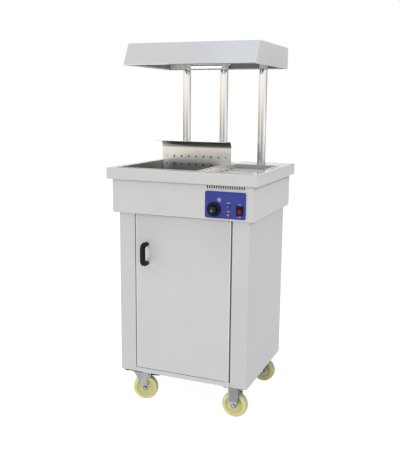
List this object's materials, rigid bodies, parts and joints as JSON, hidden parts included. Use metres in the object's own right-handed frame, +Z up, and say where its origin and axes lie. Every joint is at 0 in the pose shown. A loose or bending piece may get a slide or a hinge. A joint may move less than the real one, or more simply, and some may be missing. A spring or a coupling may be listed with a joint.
{
  "type": "chip scuttle",
  "caption": "Mobile chip scuttle: steel cabinet on castors, hinged door, heated well with lift-out perforated plate, carton rack, control panel, and a lamp hood on chrome posts.",
  "frame": {"origin": "on the floor under the middle of the unit's bounding box", "axes": "+X to the right as seen from the door, +Y to the back, +Z up"},
  "size_m": [0.66, 0.5773, 1.5427],
  "materials": {
    "satin_steel": "satin stainless sheet",
    "plain_steel": "plain steel",
    "chrome": "bright chrome",
    "zinc_steel": "zinc plated",
    "cream_nylon": "cream nylon",
    "black_plastic": "black moulding",
    "red_plastic": "translucent red",
    "blue_print": "printed film",
    "green_lens": "green lens",
    "orange_lens": "orange lens",
    "white_ceramic": "bare ceramic",
    "lamp_glass": "frosted tube",
    "bush_plastic": "white nylon"
  },
  "bodies": {
    "carcass": {"left_side_panel": "satin_steel", "right_side_panel": "satin_steel", "back_panel": "satin_steel", "cabinet_floor": "satin_steel", "housing_floor": "satin_steel", "housing_wrap": "satin_steel", "housing_rear_cover": "satin_steel", "worktop": "satin_steel", "chip_well": "satin_steel", "rack_well": "satin_steel", "hood_cover": "satin_steel", "hood_ends": "satin_steel", "control_plate": "satin_steel", "hinge_brackets": "plain_steel", "element_clamps": "plain_steel", "heating_element": "plain_steel", "post_channel": "plain_steel", "lamp_brackets": "plain_steel", "lamp_reflector": "plain_steel", "post_studs": "plain_steel", "post_nuts": "plain_steel", "rear_cover_screws": "plain_steel", "left_post": "chrome", "centre_post": "chrome", "right_post": "chrome", "swivel_castor_plates": "zinc_steel", "rigid_castor_forks": "zinc_steel", "rigid_castor_axles": "zinc_steel", "castor_bolts": "zinc_steel", "switch_housing": "black_plastic", "cable_gland": "black_plastic", "magnetic_catch": "black_plastic", "thermostat": "black_plastic", "control_fascia": "blue_print", "green_pilot_light": "green_lens", "orange_pilot_light": "orange_lens", "lamp_holders": "white_ceramic", "terminal_block": "white_ceramic", "heat_lamp": "lamp_glass"},
    "door": {"door_skin": "satin_steel", "door_back_plate": "satin_steel", "hinge_bushes": "bush_plastic", "door_handle": "black_plastic", "handle_screws": "plain_steel", "catch_striker": "plain_steel"},
    "knob": {"control_knob": "black_plastic", "thermostat_shaft": "plain_steel"},
    "rocker": {"switch_rocker": "red_plastic"},
    "insert": {"perforated_insert": "satin_steel"},
    "rack": {"carton_rack": "satin_steel"},
    "front_left_swivel": {"front_left_castor_fork": "zinc_steel", "front_left_axle": "zinc_steel"},
    "front_left_wheel": {"front_left_wheel": "cream_nylon"},
    "front_left_brake": {"front_left_brake_pedal": "zinc_steel"},
    "rear_left_swivel": {"rear_left_castor_fork": "zinc_steel", "rear_left_axle": "zinc_steel"},
    "rear_left_wheel": {"rear_left_wheel": "cream_nylon"},
    "rear_left_brake": {"rear_left_brake_pedal": "zinc_steel"},
    "front_right_wheel": {"front_right_wheel": "cream_nylon"},
    "rear_right_wheel": {"rear_right_wheel": "cream_nylon"}
  },
  "joints": [
    {"name": "door_hinge", "type": "hinge", "parent": "carcass", "child": "door", "pos_m": [0.202, -0.23, 0.50095], "axis": [0, 0, 1], "range_deg": [0, 110]},
    {"name": "knob_turn", "type": "hinge", "parent": "carcass", "child": "knob", "pos_m": [0.1475, -0.2633, 0.8882], "axis": [0, 1, 0], "range_deg": [0, 270]},
    {"name": "switch_rock", "type": "hinge", "parent": "carcass", "child": "rocker", "pos_m": [0.255, -0.2603, 0.8882], "axis": [1, 0, 0], "range_deg": [-18, 0]},
    {"name": "insert_lift", "type": "slide", "parent": "carcass", "child": "insert", "axis": [0, 0, 1], "range_m": [0, 0.2]},
    {"name": "rack_lift", "type": "slide", "parent": "carcass", "child": "rack", "axis": [0, 0, 1], "range_m": [0, 0.12]},
    {"name": "front_left_swivel", "type": "hinge", "parent": "carcass", "child": "front_left_swivel", "pos_m": [-0.231, -0.203, 0.1297], "axis": [0, 0, 1], "continuous": true},
    {"name": "front_left_roll", "type": "hinge", "parent": "front_left_swivel", "child": "front_left_wheel", "pos_m": [-0.19413, -0.19381, 0.0545], "axis": [-0.2419, 0.9703, 0], "continuous": true},
    {"name": "front_left_brake", "type": "hinge", "parent": "front_left_swivel", "child": "front_left_brake", "pos_m": [-0.17666, -0.18945, 0.117], "axis": [-0.2419, 0.9703, 0], "range_deg": [0, 18]},
    {"name": "rear_left_swivel", "type": "hinge", "parent": "carcass", "child": "rear_left_swivel", "pos_m": [-0.231, 0.203, 0.1297], "axis": [0, 0, 1], "continuous": true},
    {"name": "rear_left_roll", "type": "hinge", "parent": "rear_left_swivel", "child": "rear_left_wheel", "pos_m": [-0.19628, 0.18754, 0.0545], "axis": [0.4067, 0.9135, 0], "continuous": true},
    {"name": "rear_left_brake", "type": "hinge", "parent": "rear_left_swivel", "child": "rear_left_brake", "pos_m": [-0.17984, 0.18022, 0.117], "axis": [0.4067, 0.9135, 0], "range_deg": [0, 18]},
    {"name": "front_right_roll", "type": "hinge", "parent": "carcass", "child": "front_right_wheel", "pos_m": [0.231, -0.203, 0.0545], "axis": [0, 1, 0], "continuous": true},
    {"name": "rear_right_roll", "type": "hinge", "parent": "carcass", "child": "rear_right_wheel", "pos_m": [0.231, 0.203, 0.0545], "axis": [0, 1, 0], "continuous": true}
  ]
}
